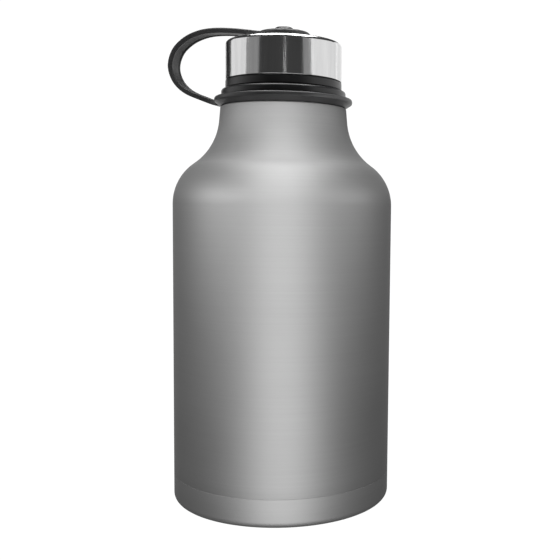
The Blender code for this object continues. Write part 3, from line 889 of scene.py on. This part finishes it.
def make_floor():
    """Plain pale floor that reads as white and throws no light or shade on the bottle."""
    bm = bmesh.new()
    bmesh.ops.create_circle(bm, cap_ends=True, segments=96, radius=6.0)
    floor = add_mesh("floor", bm)
    mat = bpy.data.materials.new("floor_white")
    mat.use_nodes = True
    tree = mat.node_tree
    shader = tree.nodes["Principled BSDF"]
    shader.inputs["Base Color"].default_value = (0.9, 0.9, 0.9, 1.0)
    shader.inputs["Roughness"].default_value = 0.9
    glow = tree.nodes.new("ShaderNodeEmission")
    glow.inputs["Strength"].default_value = WHITE
    path = tree.nodes.new("ShaderNodeLightPath")
    mix = tree.nodes.new("ShaderNodeMixShader")
    tree.links.new(path.outputs["Is Camera Ray"], mix.inputs["Fac"])
    tree.links.new(shader.outputs[0], mix.inputs[1])
    tree.links.new(glow.outputs[0], mix.inputs[2])
    tree.links.new(mix.outputs[0], tree.nodes["Material Output"].inputs["Surface"])
    floor.data.materials.append(mat)
    floor.visible_glossy = False
    floor.visible_diffuse = False
    floor.visible_shadow = False


def light_group(name, pieces):
    """A collection of the pieces that some of the lights are meant for."""
    group = bpy.data.collections.new(name)
    for obj in pieces:
        group.objects.link(obj)
    return group


def make_lights(bottle, fittings, strap):
    """Soft front and top light for the bottle; side panels for the lid and the tether."""
    # name, azimuth, elevation, distance, width, height, radiance, lit pieces
    panel("bottle_key", 0.0, 0.0, 1.2, 1.2, 3.0, 2.1, bottle)
    panel("bottle_top_front", 0.0, 60.0, 1.1, 0.9, 0.8, 2.1, bottle)
    panel("bottle_top", 3.0, 100.0, 1.1, 0.6, 0.8, 5.0, bottle)
    panel("bottle_rim", 180.0, 0.0, 1.4, 2.4, 1.4, 0.18, bottle)
    panel("neck_left", -62.0, 5.0, 0.35, 0.30, 0.08, 5.0, bottle, NECK_AIM)
    panel("neck_right", 66.0, 5.0, 0.35, 0.30, 0.08, 2.6, bottle, NECK_AIM)
    panel("lid_strip", 1.0, 0.0, 1.6, 0.03, 1.6, 1.2, fittings)
    panel("lid_left", -100.0, 5.0, 1.2, 1.03, 1.2, 0.85, fittings)
    panel("lid_left_soft", -62.0, 5.0, 1.25, 0.66, 1.2, 0.24, fittings)
    panel("lid_right", 90.0, 5.0, 1.2, 1.72, 1.2, 0.85, fittings)
    panel("lid_right_far", 138.0, 5.0, 1.25, 0.60, 1.2, 0.85, fittings)
    panel("lid_right_soft", 47.0, 5.0, 1.25, 0.45, 1.2, 0.24, fittings)
    panel("lid_back", 180.0, 0.0, 1.4, 1.50, 1.4, 1.0, fittings)
    panel("lid_top", 5.0, 92.0, 1.0, 1.0, 0.8, 7.0, fittings)
    panel("lid_low", 0.0, -42.0, 1.0, 1.6, 0.6, 1.2, fittings)
    panel("strap_inside", 62.0, -12.0, 1.1, 0.5, 0.9, 2.4, strap)


# ---- assembly -----------------------------------------------------------------------------------

make_camera()
bpy.context.scene.view_settings.view_transform = "Standard"

STEEL = satin_steel()
POLISH = polished_steel()
BARE = bare_steel()
RUBBER = black_rubber()
PLASTIC = black_plastic("black_plastic", 0.28, 0.40)
GLOSS = black_plastic("stud_plastic", 0.16, 0.26)

# piece, material, body, slot, CAD nodes that it stands for
PIECES = [
    (make_shell, STEEL, "bottle", "satin_steel", ["outer_shell"]),
    (make_base, STEEL, "bottle", "satin_steel", ["outer_base"]),
    (make_flask, BARE, "bottle", "bare_steel",
     ["inner_flask", "inner_shoulder", "inner_neck"]),
    (make_lid_moulding, PLASTIC, "lid", "black_plastic", ["lid_body"]),
    (make_cap, POLISH, "lid", "polished_steel", ["lid_cap"]),
    (make_stud, GLOSS, "lid", "stud_plastic", ["lid_stud"]),
]
made = {}
for make, mat, body, slot, nodes in PIECES:
    piece = make()
    made[piece.name] = piece
    piece.data.materials.clear()
    piece.data.materials.append(mat)
    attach(piece, body)
    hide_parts(*nodes)

tether = make_tether()
tether.data.materials.clear()
tether.data.materials.append(RUBBER)
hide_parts("tether_ring", "tether_loop", "tether_eyelet")
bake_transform(tether)

KEPT = {
    "vacuum_bottom": BARE,
    "inner_base": BARE,
    "getter_cup": BARE,
    "swivel_washer": BARE,
    "stud_screw": BARE,
    "screw_washer": BARE,
    "vacuum_seal": seal_glass(),
    "radiation_foil": copper_foil(),
    "getter_pill": getter_powder(),
    "lid_insulation": foam(),
    "lid_bottom_cover": PLASTIC,
    "lip_gasket": silicone(),
}
for node, mat in KEPT.items():
    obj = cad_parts[node]
    obj.data.materials.clear()
    obj.data.materials.append(mat)

make_world()
make_floor()
BOTTLE = light_group("bottle_lit", [made["bottle_shell"], made["base_cap"]])
SMALL_PIECES = [made[name] for name in ("flask_vessel", "lid_moulding", "polished_cap", "stud_head")]
KEPT_PIECES = [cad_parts[node] for node in KEPT]
FITTINGS = light_group("fittings_lit", [tether] + SMALL_PIECES + KEPT_PIECES)
STRAP = light_group("strap_lit", [tether])
make_lights(BOTTLE, FITTINGS, STRAP)
